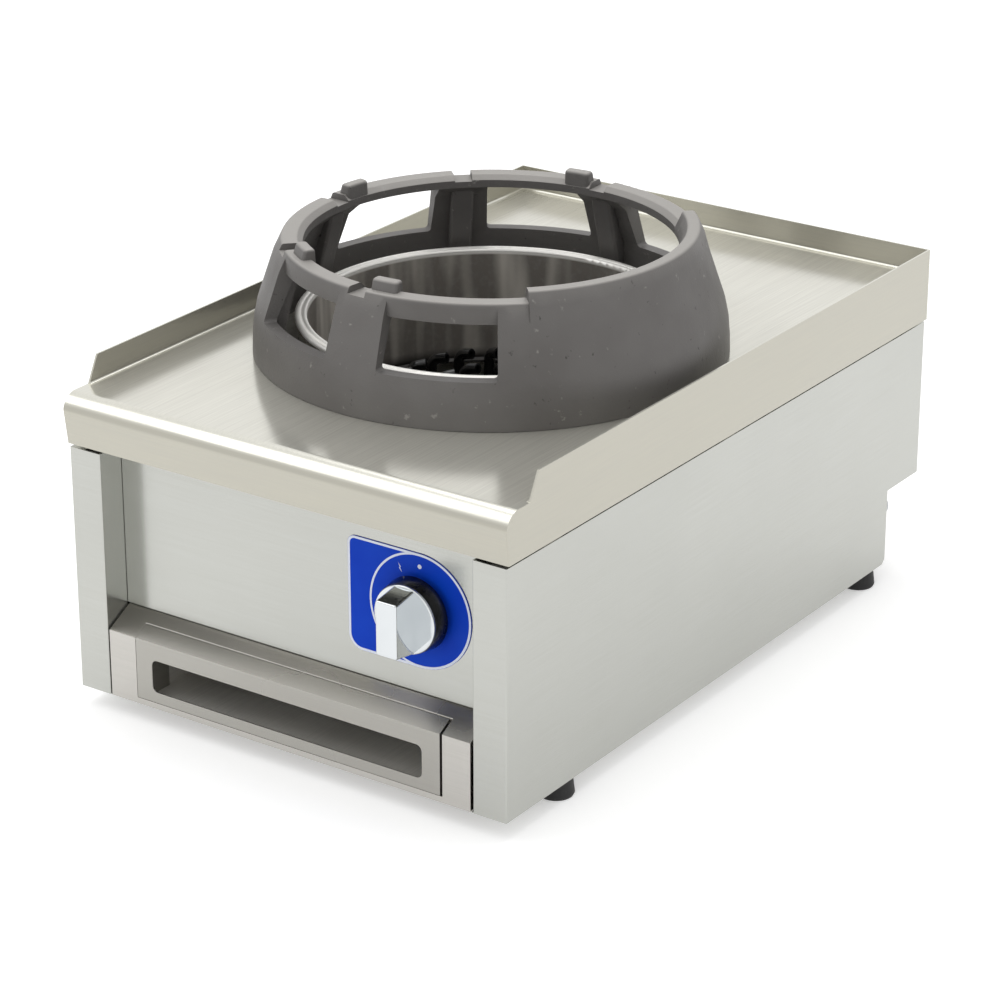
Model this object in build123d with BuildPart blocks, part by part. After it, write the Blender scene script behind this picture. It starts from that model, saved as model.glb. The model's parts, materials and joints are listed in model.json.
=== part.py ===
from build123d import *
from math import atan2, cos, degrees, radians, sin, tan
import os

# Countertop gas wok range, one burner, 400 x 600 module.
# Millimetres. +Z is up, +X is to the right of the cook, -Y is the cook's side.
# The origin is under the middle of the whole range, on the surface it stands on.
# "back(d)" is d behind the plane of the front posts, "up(h)" is h above the body's underside.

# Driving dimensions of the body
half_width = 199.0         # worktop skirt, from the middle to each side
body_depth = 600.0         # front posts to the rear skirt
knob_reach = 18.0          # the knob's grip stands this far in front of the posts
foot_height = 15.0
skirt_height = 199.3       # body underside to the skirt's lower edge
deck_height = 238.3        # body underside to the worktop's surface
upstand_height = 258.9     # body underside to the upstand's top edge
sheet = 1.2                # body sheet
top_sheet = 1.5            # worktop sheet
reveal = 2.5               # shadow gap between the body and the skirt
side_inset = 2.0           # the body stands this far inside the skirt

# Driving dimensions of the front
post_width = 30.8          # bright front post at each side
recess_depth = 24.0        # control panel behind the posts
ledge_low = 54.5           # sloped ledge, at the front
ledge_high = 67.5          # sloped ledge, at the control panel
rail_height = 5.0          # fixed rail under the drawer
drawer_half = 140.2
drawer_shift = -0.9        # the drawer sits a little to the left in its opening
opening_left = -141.5
opening_right = 141.3
frame_left = -166.9
frame_right = 165.8

# Driving dimensions of the rear
step_depth = 50.0          # the lower body stops this far before the rear
step_height = 64.7

# Driving dimensions of the burner, the insert and the wok ring
burner_back = 265.5        # burner axis behind the front posts
collar_radius = 147.4
insert_rim = 267.0
ring_base_radius = 182.6
ring_rim_height = 328.0
ring_wall_height = 336.5
window_low = 275.0
window_high = 312.5
window_half_angle = 14.8
window_angles = (66.4, 111.2, 156.4, 247.0, 291.6)
knob_x = 106.5
knob_height = 133.5
tube_height = 133.0        # mixing tube axis

front = -(body_depth + knob_reach) / 2 + knob_reach
rear = front + body_depth
body_half = half_width - side_inset


def back(depth):
    return front + depth


def up(height):
    return foot_height + height


def facing(depth):
    """Plane square to the depth, its normal towards the cook."""
    return Plane.XZ.offset(-back(depth))


def slab(x_span, depth_span, height_span, mode=Mode.ADD):
    """Square-edged block between two x, two depths and two heights."""
    with Locations((x_span[0], back(depth_span[0]), up(height_span[0]))):
        Box(
            x_span[1] - x_span[0],
            depth_span[1] - depth_span[0],
            height_span[1] - height_span[0],
            align=(Align.MIN, Align.MIN, Align.MIN),
            mode=mode,
        )


def keep(piece, label):
    piece.part.label = label
    export_step(piece.part, f"parts/{label}.step")


os.makedirs("parts", exist_ok=True)
burner_y = back(burner_back)

# ---------------------------------------------------------------- worktop
lip_reach = 3.2            # the rounded lip stands in front of the posts
lip_radius = 14.5
hem = 12.0                 # inward fold along the skirt's lower edge
upstand_start = 25.8       # upstand's front end, at the deck
upstand_full = 36.2        # where it has its full height
collar_top = 261.3


def deck_section(inset, low):
    """Outline of the worktop seen from the side, moved inwards by the inset."""
    nose = -lip_reach + inset
    lean = inset - lip_reach * (low - skirt_height) / (deck_height - lip_radius - skirt_height)
    with BuildSketch(Plane.YZ) as section:
        with BuildLine():
            foot_point = (back(lean), up(low))
            nose_point = (back(nose), up(deck_height - lip_radius))
            Line(foot_point, nose_point)
            CenterArc(
                (back(lip_radius - lip_reach), up(deck_height - lip_radius)),
                lip_radius - inset, 90, 90,
            )
            Polyline(
                (back(lip_radius - lip_reach), up(deck_height - inset)),
                (rear - inset, up(deck_height - inset)),
                (rear - inset, up(low)),
                foot_point,
            )
        make_face()
    return section.sketch


outer_section = deck_section(0, skirt_height)
inner_section = deck_section(top_sheet, skirt_height + top_sheet)

with BuildPart() as worktop:
    extrude(outer_section, amount=half_width, both=True)
    extrude(inner_section, amount=half_width - top_sheet, both=True, mode=Mode.SUBTRACT)
    slab(
        (-half_width + hem, half_width - hem), (hem, body_depth - hem),
        (skirt_height - 1, skirt_height + top_sheet + 1), mode=Mode.SUBTRACT,
    )
    # upstands at the sides, with sloped front ends, and at the rear
    with BuildSketch(Plane.YZ):
        with BuildLine():
            Polyline(
                (back(upstand_start), up(deck_height)),
                (back(upstand_full), up(upstand_height)),
                (rear, up(upstand_height)),
                (rear, up(deck_height) - top_sheet),
                (back(upstand_start), up(deck_height) - top_sheet),
                close=True,
            )
        make_face()
    extrude(amount=half_width, both=True)
    slab(
        (-half_width + top_sheet, half_width - top_sheet),
        (upstand_start - 1, body_depth - top_sheet),
        (deck_height, upstand_height + 1), mode=Mode.SUBTRACT,
    )
    # drawn collar round the burner opening
    with BuildSketch(Plane.XY.offset(up(deck_height) - top_sheet)):
        with Locations((0, burner_y)):
            Circle(collar_radius)
    extrude(amount=collar_top - deck_height + top_sheet)
    with BuildSketch(Plane.XY.offset(up(deck_height) - 2 * top_sheet)):
        with Locations((0, burner_y)):
            Circle(collar_radius - top_sheet)
    extrude(amount=collar_top - deck_height + 3 * top_sheet, mode=Mode.SUBTRACT)
    # small bends where the upstands and the collar leave the deck
    deck_bends = (
        worktop.edges()
        .filter_by(lambda e: abs(e.center().Z - up(deck_height)) < 0.01)
        .filter_by(lambda e: e.bounding_box().size.Z < 0.01)
    )
    upstand_bends = deck_bends.filter_by(
        lambda e: e.length > 300
        and e.geom_type == GeomType.LINE
        and (
            abs(abs(e.center().X) - (half_width - top_sheet)) < 0.01
            or abs(e.center().Y - (rear - top_sheet)) < 0.01
        )
    )
    fillet(upstand_bends, radius=2.5)
    collar_bend = (
        worktop.edges()
        .filter_by(GeomType.CIRCLE)
        .filter_by(lambda e: abs(e.radius - collar_radius) < 0.01)
        .filter_by(lambda e: abs(e.center().Z - up(deck_height)) < 0.01)
    )
    fillet(collar_bend, radius=3.0)
    # softened vertical corners at the front
    front_corners = (
        worktop.edges()
        .filter_by(lambda e: abs(abs(e.center().X) - half_width) < 0.01)
        .filter_by(lambda e: e.center().Y < back(1.0) and e.bounding_box().size.Z > 5)
        .filter_by(lambda e: e.bounding_box().size.X < 0.01)
    )
    fillet(front_corners, radius=1.2)
keep(worktop, "worktop")

# ------------------------------------------------------------ side panels
panel_top = skirt_height - reveal
lip_width = 14.0           # inward folds along the panel's top and rear
foot_flange = 30.0         # wide fold that carries the feet
rear_inset = 3.2
corner_cut = 4.0
post_inner = half_width - post_width
foot_x = body_half - 13.5
foot_depths = (83.0, 530.0)

with BuildPart() as side_panel_right:
    with BuildSketch(Plane.YZ.offset(body_half)):
        with BuildLine():
            Polyline(
                (front, up(0)),
                (back(body_depth - step_depth - corner_cut), up(0)),
                (back(body_depth - step_depth), up(corner_cut)),
                (back(body_depth - step_depth), up(step_height)),
                (rear, up(step_height)),
                (rear, up(panel_top)),
                (front, up(panel_top)),
                close=True,
            )
        make_face()
    extrude(amount=-sheet)
    slab((post_inner, body_half), (0, sheet), (0, panel_top))
    slab((post_inner, post_inner + sheet), (0, recess_depth), (0, panel_top))
    slab((body_half - lip_width, body_half), (0, body_depth), (panel_top - sheet, panel_top))
    slab(
        (body_half - foot_flange, body_half),
        (0, body_depth - step_depth - corner_cut), (0, sheet),
    )
    slab(
        (body_half - lip_width, body_half),
        (body_depth - rear_inset - 2 * sheet - 0.2, body_depth - rear_inset - sheet - 0.2),
        (step_height + 2 * sheet, panel_top),
    )
    with BuildSketch(Plane.XY.offset(up(0))):
        with Locations(*[(foot_x, back(d)) for d in foot_depths]):
            Circle(4.5)
    extrude(amount=sheet, mode=Mode.SUBTRACT)
    post_edge = (
        side_panel_right.edges()
        .filter_by(Axis.Z)
        .filter_by(lambda e: e.center().Y < front + 0.01)
        .filter_by(lambda e: e.center().X > post_inner - 0.01)
    )
    fillet(post_edge, radius=0.9)
keep(side_panel_right, "side_panel_right")

with BuildPart() as side_panel_left:
    mirror(side_panel_right.part, about=Plane.YZ)
keep(side_panel_left, "side_panel_left")

spacer_depths = (60.0, 300.0, 540.0)
with BuildPart() as worktop_spacers:
    with BuildSketch(Plane.XY.offset(up(panel_top))):
        spots = [(s * 191.0, back(d)) for s in (-1, 1) for d in spacer_depths]
        with Locations(*spots):
            Rectangle(7.0, 22.0)
    extrude(amount=reveal)
keep(worktop_spacers, "worktop_spacers")

# ------------------------------------------------------------- base plate
plate_low = sheet
plate_high = 2 * sheet
with BuildPart() as base_plate:
    slab((-body_half + 1.5, body_half - 1.5), (recess_depth + 2, 548.6), (plate_low, plate_high))
    with BuildSketch(Plane.XY.offset(up(plate_low))):
        with Locations(*[(s * foot_x, back(d)) for s in (-1, 1) for d in foot_depths]):
            Circle(4.5)
        with Locations((0, burner_y)):
            with GridLocations(34, 60, 7, 5):
                SlotOverall(20, 6, rotation=90)
    extrude(amount=sheet, mode=Mode.SUBTRACT)
keep(base_plate, "base_plate")

# ------------------------------------------------------------ rear panels
rear_half = body_half - sheet - 0.2
shelf_back = body_depth - rear_inset - sheet - 0.2
inlet_x = 170.0
inlet_height = 35.0
inlet_shank = 9.5
inlet_hexagon = 15.5
with BuildPart() as rear_panel_lower:
    with BuildSketch(Plane.YZ):
        with BuildLine():
            Polyline(
                (back(530), up(plate_high + sheet)),
                (back(body_depth - step_depth), up(plate_high + sheet)),
                (back(body_depth - step_depth), up(step_height)),
                (back(shelf_back - sheet - 0.1), up(step_height)),
            )
            offset(amount=sheet, side=Side.LEFT)
        make_face()
    extrude(amount=rear_half, both=True)
    with BuildSketch(facing(body_depth - step_depth + 1)):
        with Locations((inlet_x, up(inlet_height))):
            Circle(inlet_shank + 0.7)
        with Locations((-inlet_x, up(inlet_height))):
            Circle(2.8)
    extrude(amount=2 * sheet + 2, mode=Mode.SUBTRACT)
    for s in (-1, 1):
        slab(
            (s * foot_x - 9, s * foot_x + 9), (525, 540),
            (plate_high - 1, plate_high + 2 * sheet + 1), mode=Mode.SUBTRACT,
        )
keep(rear_panel_lower, "rear_panel_lower")

rear_screw_heights = (90.0, 130.0, 175.0)
rear_screw_x = body_half - 8.0
with BuildPart() as rear_panel_upper:
    slab(
        (-rear_half, rear_half),
        (body_depth - rear_inset - sheet, body_depth - rear_inset),
        (step_height, panel_top - sheet - 0.2),
    )
    with BuildSketch(facing(body_depth - rear_inset)):
        with Locations((0, up(140))):
            with GridLocations(36, 13, 8, 6):
                SlotOverall(28, 4.5)
        with Locations(*[(s * rear_screw_x, up(h)) for s in (-1, 1) for h in rear_screw_heights]):
            Circle(2.1)
    extrude(amount=sheet, mode=Mode.SUBTRACT)
keep(rear_panel_upper, "rear_panel_upper")

with BuildPart() as rear_screws:
    with BuildSketch(facing(body_depth - rear_inset)):
        with Locations(*[(s * rear_screw_x, up(h)) for s in (-1, 1) for h in rear_screw_heights]):
            Circle(3.6)
    extrude(amount=-2.0)
    head_rims = rear_screws.edges().filter_by(lambda e: e.center().Y > rear - rear_inset + 1.9)
    fillet(head_rims, radius=1.1)
    with BuildSketch(facing(body_depth - rear_inset + 2.0)):
        with Locations(*[(s * rear_screw_x, up(h)) for s in (-1, 1) for h in rear_screw_heights]):
            Rectangle(3.6, 0.8)
            Rectangle(0.8, 3.6)
    extrude(amount=1.0, mode=Mode.SUBTRACT)
keep(rear_screws, "rear_screws")

# ---------------------------------------------------------- lower front
slope_rise = ledge_high - ledge_low
drawer_flange = 12.6       # sloped part of the ledge that rides on the drawer
seam = 0.8
with BuildPart() as front_frame:
    with BuildSketch(Plane.YZ) as frame_section:
        with BuildLine():
            Polyline(
                (back(30), up(0)),
                (back(0), up(0)),
                (back(0), up(ledge_low)),
                (back(recess_depth), up(ledge_high)),
                (back(recess_depth + 12), up(ledge_high)),
            )
            offset(amount=sheet, side=Side.RIGHT)
        make_face()
    extrude(amount=frame_right)
    extrude(frame_section.sketch, amount=frame_left)
    slab(
        (opening_left, opening_right), (-1, drawer_flange + seam),
        (rail_height, ledge_high + 1), mode=Mode.SUBTRACT,
    )
keep(front_frame, "front_frame")

panel_bottom = ledge_high + 0.4
panel_upper = skirt_height + 14.0
with BuildPart() as control_panel:
    slab((-168.0, 168.0), (recess_depth, recess_depth + sheet), (panel_bottom, panel_upper))
    slab((-168.0, 168.0), (recess_depth, recess_depth + 12), (panel_bottom, panel_bottom + sheet))
    lower_bend = (
        control_panel.edges()
        .filter_by(Axis.X)
        .filter_by(lambda e: e.center().Y < back(recess_depth) + 0.01)
        .sort_by(Axis.Z)[0]
    )
    fillet(lower_bend, radius=1.0)
    with BuildSketch(facing(recess_depth - 1)):
        with Locations((knob_x, up(knob_height))):
            Circle(8.0)
    extrude(amount=-(sheet + 2), mode=Mode.SUBTRACT)
keep(control_panel, "control_panel")

# ------------------------------------------------------------- dial plate
dial_left = knob_x - 63.5
dial_radius = 44.5
dial_thick = 0.8
dial_z = up(133.0)


def dial_outline(inset):
    """D-shaped outline: a squared left side run into the dial's circle."""
    with BuildSketch() as outline:
        Circle(dial_radius - inset)
        with BuildSketch(mode=Mode.PRIVATE) as left_side:
            width = knob_x - dial_left - inset
            with Locations((-width / 2, 0)):
                Rectangle(width, 2 * (dial_radius - inset))
            fillet(left_side.vertices().filter_by(lambda v: v.X < -1 and v.Y > 0), 6.5 - inset)
            fillet(left_side.vertices().filter_by(lambda v: v.X < -40 and v.Y < 0), 12.0 - inset)
        add(left_side.sketch)
    return outline.sketch


def on_dial(depth):
    return Plane(
        origin=(knob_x, back(depth), dial_z), x_dir=(1, 0, 0), z_dir=(0, -1, 0)
    )


dial_face = on_dial(recess_depth) * dial_outline(0)
with BuildPart() as dial_plate:
    extrude(dial_face, amount=dial_thick)
    with BuildSketch(on_dial(recess_depth + 0.5)):
        Circle(9.0)
    extrude(amount=dial_thick + 1, mode=Mode.SUBTRACT)
keep(dial_plate, "dial_plate")

print_thick = 0.12
mark_radius = 34.5
spark_angle = 30


def mark_points(angle, points):
    """Points of a mark, moved to its place on the dial, this far anticlockwise of off."""
    spot = (-mark_radius * sin(radians(angle)), mark_radius * cos(radians(angle)))
    return [(spot[0] + x, spot[1] + y) for x, y in points]


outer_band = dial_outline(0.15) - dial_outline(1.95)
with BuildSketch(on_dial(recess_depth - dial_thick)) as dial_print:
    add(outer_band)
    with BuildSketch(mode=Mode.PRIVATE) as circle_line:
        Circle(dial_radius - 0.15)
        Circle(dial_radius - 1.75, mode=Mode.SUBTRACT)
    add(circle_line.sketch)
    # off dot at twelve o'clock
    with Locations((0, mark_radius)):
        Circle(1.7)
    # spark mark at 30 degrees to the left
    spark_points = [(-1.6, 3.6), (0.9, 0.5), (0.0, 0.2), (1.8, -3.4), (-0.9, -0.3), (0.0, 0.1)]
    with BuildLine():
        Polyline(*mark_points(spark_angle, spark_points), close=True)
    make_face()
    # large flame at 90 degrees, small flame at 150 degrees
    for angle, size in ((90, 1.0), (150, 0.62)):
        tip, right, low, left = mark_points(
            angle, [(x * size, y * size) for x, y in ((0, 5.2), (2.7, -0.6), (0, -4.2), (-2.7, -0.6))]
        )
        with BuildLine():
            Spline(tip, right, low, tangents=((1.0, -1.2), (-1, 0)))
            Spline(low, left, tip, tangents=((-1, 0), (1.0, 1.2)))
        make_face()
with BuildPart() as dial_marks:
    extrude(dial_print.sketch, amount=print_thick)
keep(dial_marks, "dial_marks")

# ------------------------------------------------------------------- knob
knob_gap = 6.0             # clear space behind the knob, for its push
knob_back = recess_depth - knob_gap
knob_face = 3.5            # depth of the knob's disc face
knob_base_radius = 28.5
knob_face_radius = 26.3
disc_edge = 2.0            # thickness of the bright disc in front of the dark side
boss_back = knob_back - 3.5
grip_half = 9.0
grip_top = 21.0
grip_foot = 24.4
shaft_radius = 4.0
shaft_flat = 1.2
knob_taper = degrees(atan2(knob_base_radius - knob_face_radius, knob_back - knob_face))
knob_hollow = knob_face_radius - 3.0


def on_knob(depth):
    return Plane(
        origin=(knob_x, back(depth), up(knob_height)), x_dir=(1, 0, 0), z_dir=(0, -1, 0)
    )


def shaft_outline(clearance):
    """Round shaft with one flat on its upper side."""
    radius = shaft_radius + clearance
    with BuildSketch() as outline:
        Circle(radius)
        with Locations((0, radius - shaft_flat)):
            Rectangle(4 * radius, 2 * shaft_flat, align=(Align.CENTER, Align.MIN), mode=Mode.SUBTRACT)
    return outline.sketch


shaft_start = -8.0         # depth of the spindle's front end, inside the knob
shaft_end = 58.0
flat_end = 16.0
with BuildPart() as knob_body:
    with BuildSketch(on_knob(knob_face + disc_edge)):
        Circle(knob_face_radius)
    extrude(amount=disc_edge)
    disc_rim = knob_body.faces().sort_by(Axis.Y)[0].edges()
    fillet(disc_rim, radius=1.2)
    # bar grip, a little longer at the disc than at its front
    with BuildSketch(on_knob(knob_face + 1)):
        RectangleRounded(2 * grip_half, 2 * grip_foot, 1.6)
    with BuildSketch(on_knob(-knob_reach)):
        RectangleRounded(2 * grip_half, 2 * grip_top, 1.6)
    loft()
    grip_front = knob_body.faces().sort_by(Axis.Y)[0].edges()
    fillet(grip_front, radius=1.2)
    with BuildSketch(on_knob(boss_back)):
        Circle(9.0)
    extrude(amount=boss_back - knob_face - disc_edge)
    shaft_hole = on_knob(knob_back) * shaft_outline(0.05)
    extrude(shaft_hole, amount=knob_back - shaft_start + 0.3, mode=Mode.SUBTRACT)
keep(knob_body, "knob_body")

with BuildPart() as knob_band:
    with BuildSketch(on_knob(knob_back)):
        Circle(knob_base_radius)
    extrude(amount=knob_back - knob_face - disc_edge, taper=knob_taper)
    with BuildSketch(on_knob(knob_back)):
        Circle(knob_hollow)
    extrude(amount=knob_back, mode=Mode.SUBTRACT)
    band_edge = (
        knob_band.edges().filter_by(GeomType.CIRCLE)
        .filter_by(lambda e: e.radius > knob_base_radius - 0.1)
    )
    fillet(band_edge, radius=0.8)
keep(knob_band, "knob_band")

with BuildPart() as spindle:
    extrude(on_knob(flat_end) * shaft_outline(0), amount=flat_end - shaft_start)
    with BuildSketch(on_knob(40.0)):
        Circle(shaft_radius)
    extrude(amount=40.0 - flat_end)
    extrude(on_knob(shaft_end) * shaft_outline(0), amount=shaft_end - 40.0)
    with BuildSketch(on_knob(34.0)):
        Circle(7.0)
    extrude(amount=2.0)
keep(spindle, "spindle")

# -------------------------------------------------------------------- tap
bracket_front = recess_depth + sheet
bracket_back = bracket_front + 2.0
bonnet_back = bracket_back + 4.0
tap_back = 86.0
tap_radius = 17.0
plug_radius = 9.0
plug_front = 44.0
plug_back = 70.0
port_depth = 56.0          # gas way to the burner, to the left
supply_depth = 78.0        # gas way from the feed pipe, to the right
pilot_depth = 62.0         # gas way to the pilot, upwards
screw_spread = 18.8        # bonnet screws, from the spindle's axis
screw_radius = 1.95
screw_taper = 40.0

with BuildPart() as tap_bracket:
    slab(
        (knob_x - 28, knob_x + 28), (bracket_front, bracket_back),
        (knob_height - 26, knob_height + 26),
    )
    slab(
        (knob_x - 28, knob_x + 28), (bracket_front, bracket_back + 10),
        (knob_height + 24, knob_height + 26),
    )
    with BuildSketch(on_knob(bracket_back + 1)):
        Circle(9.5)
    extrude(amount=4, mode=Mode.SUBTRACT)
    with BuildSketch(on_knob(bracket_back)):
        with GridLocations(2 * screw_spread, 0, 2, 1):
            Circle(screw_radius + 0.05)
    extrude(amount=bracket_back - bracket_front, taper=-screw_taper, mode=Mode.SUBTRACT)
keep(tap_bracket, "tap_bracket")

with BuildPart() as tap_bonnet:
    with BuildSketch(on_knob(bonnet_back)):
        RectangleRounded(46, 24, 6)
        Circle(tap_radius)
        Circle(shaft_radius + 0.05, mode=Mode.SUBTRACT)
        with GridLocations(2 * screw_spread, 0, 2, 1):
            Circle(screw_radius + 0.05, mode=Mode.SUBTRACT)
    extrude(amount=4.0)
keep(tap_bonnet, "tap_bonnet")

with BuildPart() as tap_body:
    with BuildSketch(on_knob(tap_back)):
        Circle(tap_radius)
    extrude(amount=tap_back - bonnet_back)
    with BuildSketch(on_knob(bonnet_back + 8)):
        RectangleRounded(46, 24, 6)
    extrude(amount=8)
    with BuildSketch(on_knob(bonnet_back + 7)):
        with GridLocations(2 * screw_spread, 0, 2, 1):
            Circle(screw_radius + 0.05)
    extrude(amount=8, mode=Mode.SUBTRACT)
    # side ports
    with BuildSketch(Plane.YZ.offset(knob_x)):
        with Locations((back(port_depth), up(tube_height))):
            Circle(8.5)
    extrude(amount=-(tap_radius + 7))
    with BuildSketch(Plane.YZ.offset(knob_x)):
        with Locations((back(supply_depth - 2), up(tube_height))):
            Circle(9.5)
    extrude(amount=tap_radius + 9)
    with BuildSketch(Plane.XY.offset(up(knob_height))):
        with Locations((knob_x, back(pilot_depth))):
            Circle(5.5)
    extrude(amount=tap_radius + 6)
    # plug bore, valve chamber and gas ways
    with BuildSketch(on_knob(plug_back + 2)):
        Circle(plug_radius + 0.05)
    extrude(amount=plug_back + 2 - bonnet_back, mode=Mode.SUBTRACT)
    with BuildSketch(on_knob(tap_back)):
        Circle(6.0)
    extrude(amount=tap_back - plug_back, mode=Mode.SUBTRACT)
    with BuildSketch(Plane.YZ.offset(knob_x)):
        with Locations((back(port_depth), up(tube_height))):
            Circle(4.0)
    extrude(amount=-(tap_radius + 7), mode=Mode.SUBTRACT)
    with BuildSketch(Plane.YZ.offset(knob_x)):
        with Locations((back(supply_depth - 2), up(tube_height))):
            Circle(5.0)
    extrude(amount=tap_radius + 9, mode=Mode.SUBTRACT)
    with BuildSketch(Plane.XY.offset(up(knob_height))):
        with Locations((knob_x, back(pilot_depth))):
            Circle(1.8)
    extrude(amount=tap_radius + 6, mode=Mode.SUBTRACT)
keep(tap_body, "tap_body")

with BuildPart() as bonnet_screws:
    with BuildSketch(on_knob(bonnet_back + 6)):
        with GridLocations(2 * screw_spread, 0, 2, 1):
            Circle(screw_radius)
    extrude(amount=bonnet_back + 6 - bracket_back)
    with BuildSketch(on_knob(bracket_back)):
        with GridLocations(2 * screw_spread, 0, 2, 1):
            Circle(screw_radius)
    extrude(amount=bracket_back - bracket_front, taper=-screw_taper)
keep(bonnet_screws, "bonnet_screws")

with BuildPart() as tap_plug:
    with BuildSketch(on_knob(plug_back)):
        Circle(plug_radius)
    extrude(amount=plug_back - plug_front)
    extrude(on_knob(plug_back + 1) * shaft_outline(0.06), amount=plug_back - plug_front + 2,
            mode=Mode.SUBTRACT)
    with BuildSketch(Plane.YZ.offset(knob_x)):
        with Locations((back(port_depth + 4), up(knob_height))):
            Circle(2.8)
    extrude(amount=plug_radius + 1, mode=Mode.SUBTRACT)
keep(tap_plug, "tap_plug")

with BuildPart() as tap_spring:
    with BuildSketch(on_knob(plug_front)):
        Circle(7.6)
        Circle(5.6, mode=Mode.SUBTRACT)
    extrude(amount=plug_front - 38.4)
keep(tap_spring, "tap_spring")

with BuildPart() as magnet_unit:
    with BuildSketch(on_knob(112.0)):
        Circle(8.0)
    extrude(amount=112.0 - tap_back)
    with BuildSketch(on_knob(tap_back + 7)):
        RegularPolygon(11.0, 6)
    extrude(amount=7)
    with BuildSketch(on_knob(tap_back)):
        Circle(1.5)
    extrude(amount=tap_back - 63.0)
keep(magnet_unit, "magnet_unit")

with BuildPart() as piezo_unit:
    slab((knob_x + 32, knob_x + 54), (bracket_front, bracket_front + 48),
         (knob_height - 36, knob_height - 16))
    vertical = piezo_unit.edges().filter_by(Axis.Y)
    fillet(vertical, radius=4)
keep(piezo_unit, "piezo_unit")


# ------------------------------------------------------------- gas pipes
def bent_pipe(points, bend, outer, bore):
    """Pipe along straight runs joined by arcs of one bend radius."""
    with BuildPart() as pipe:
        with BuildLine() as route:
            FilletPolyline(*points, radius=bend)
        start = route.line @ 0
        with BuildSketch(Plane(origin=start, z_dir=route.line % 0)):
            Circle(outer)
            if bore:
                Circle(bore, mode=Mode.SUBTRACT)
        sweep()
    return pipe


tube_z = up(tube_height)
inlet_z = up(inlet_height)
supply_y = back(supply_depth - 2)
port_y = back(port_depth)
inlet_wall = body_depth - step_depth

gas_feed_pipe = bent_pipe(
    [
        (inlet_x, back(inlet_wall - 16), inlet_z),
        (inlet_x, supply_y, inlet_z),
        (inlet_x, supply_y, tube_z),
        (knob_x + tap_radius + 9, supply_y, tube_z),
    ],
    18.0, 7.5, 6.3,
)
keep(gas_feed_pipe, "gas_feed_pipe")

injector_half = 12.0
burner_feed_pipe = bent_pipe(
    [
        (knob_x - tap_radius - 7, port_y, tube_z),
        (60.0, port_y, tube_z),
        (40.0, back(66.0), tube_z),
        (injector_half, back(66.0), tube_z),
    ],
    9.0, 6.0, 4.8,
)
keep(burner_feed_pipe, "burner_feed_pipe")

# a shank through the panel, a hexagon against it, a run-out and the pipe thread
inlet_bore = 7.0
with BuildPart() as gas_inlet:
    for radius, start, end in (
        (inlet_shank, -16.0, 0.0), (9.0, 7.0, 9.0), (10.48, 9.0, 34.0),
    ):
        with BuildSketch(facing(inlet_wall + start)):
            with Locations((inlet_x, inlet_z)):
                Circle(radius)
                Circle(inlet_bore, mode=Mode.SUBTRACT)
        extrude(amount=start - end)
    with BuildSketch(facing(inlet_wall)):
        with Locations((inlet_x, inlet_z)):
            RegularPolygon(inlet_hexagon, 6)
            Circle(inlet_bore, mode=Mode.SUBTRACT)
    extrude(amount=-7.0)
keep(gas_inlet, "gas_inlet")

with BuildPart() as inlet_nut:
    with BuildSketch(facing(inlet_wall - sheet)):
        with Locations((inlet_x, inlet_z)):
            RegularPolygon(14.0, 6)
            Circle(inlet_shank, mode=Mode.SUBTRACT)
    extrude(amount=6.0)
keep(inlet_nut, "inlet_nut")

with BuildPart() as earth_stud:
    with BuildSketch(facing(inlet_wall + 18)):
        with Locations((-inlet_x, inlet_z)):
            Circle(2.5)
    extrude(amount=18 + 6)
    with BuildSketch(facing(inlet_wall + 4.0)):
        with Locations((-inlet_x, inlet_z)):
            RegularPolygon(4.6, 6)
    extrude(amount=4.0)
keep(earth_stud, "earth_stud")

# ---------------------------------------------------------------- burner
injector_mid = 66.0
with BuildPart() as injector_holder:
    slab((-injector_half, injector_half), (injector_mid - 12, injector_mid + 12),
         (tube_height - 12, tube_height + 12))
    with BuildSketch(facing(injector_mid + 12)):
        with Locations((0, tube_z)):
            Circle(5.0)
    extrude(amount=18, mode=Mode.SUBTRACT)
    with BuildSketch(Plane.YZ.offset(injector_half)):
        with Locations((back(injector_mid), tube_z)):
            Circle(4.8)
    extrude(amount=-injector_half, mode=Mode.SUBTRACT)
    # bracket down to the cross rail and up to the heat shield
    slab((-10, 10), (injector_mid - 12, injector_mid - 9), (tube_height - 62, tube_height - 12))
    slab((-10, 10), (injector_mid - 12, 150), (tube_height - 62, tube_height - 59))
keep(injector_holder, "injector_holder")

with BuildPart() as injector:
    with BuildSketch(facing(injector_mid + 12 + 6)):
        with Locations((0, tube_z)):
            RegularPolygon(7.0, 6)
    extrude(amount=6)
    with BuildSketch(facing(injector_mid + 12 + 6)):
        with Locations((0, tube_z)):
            Circle(4.5)
    extrude(amount=-10, taper=8)
    with BuildSketch(facing(injector_mid + 40)):
        with Locations((0, tube_z)):
            Circle(1.2)
    extrude(amount=30, mode=Mode.SUBTRACT)
keep(injector, "injector")

bell_front = 108.0
casting_radius = 87.0
tube_end = burner_back - casting_radius - 2.0
with BuildPart() as mixing_tube:
    with BuildSketch(Plane.YZ):
        with BuildLine():
            Polyline(
                (back(bell_front), tube_z + 20),
                (back(bell_front), tube_z + 24),
                (back(bell_front + 26), tube_z + 24),
                (back(bell_front + 34), tube_z + 17),
                (back(tube_end - 18), tube_z + 17),
                (back(tube_end - 10), tube_z + 22),
                (back(tube_end), tube_z + 22),
                (back(tube_end), tube_z + 18),
                (back(bell_front + 50), tube_z + 13),
                (back(bell_front + 30), tube_z + 13),
                close=True,
            )
        make_face()
    revolve(axis=Axis((0, 0, tube_z), (0, 1, 0)))
keep(mixing_tube, "mixing_tube")

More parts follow.
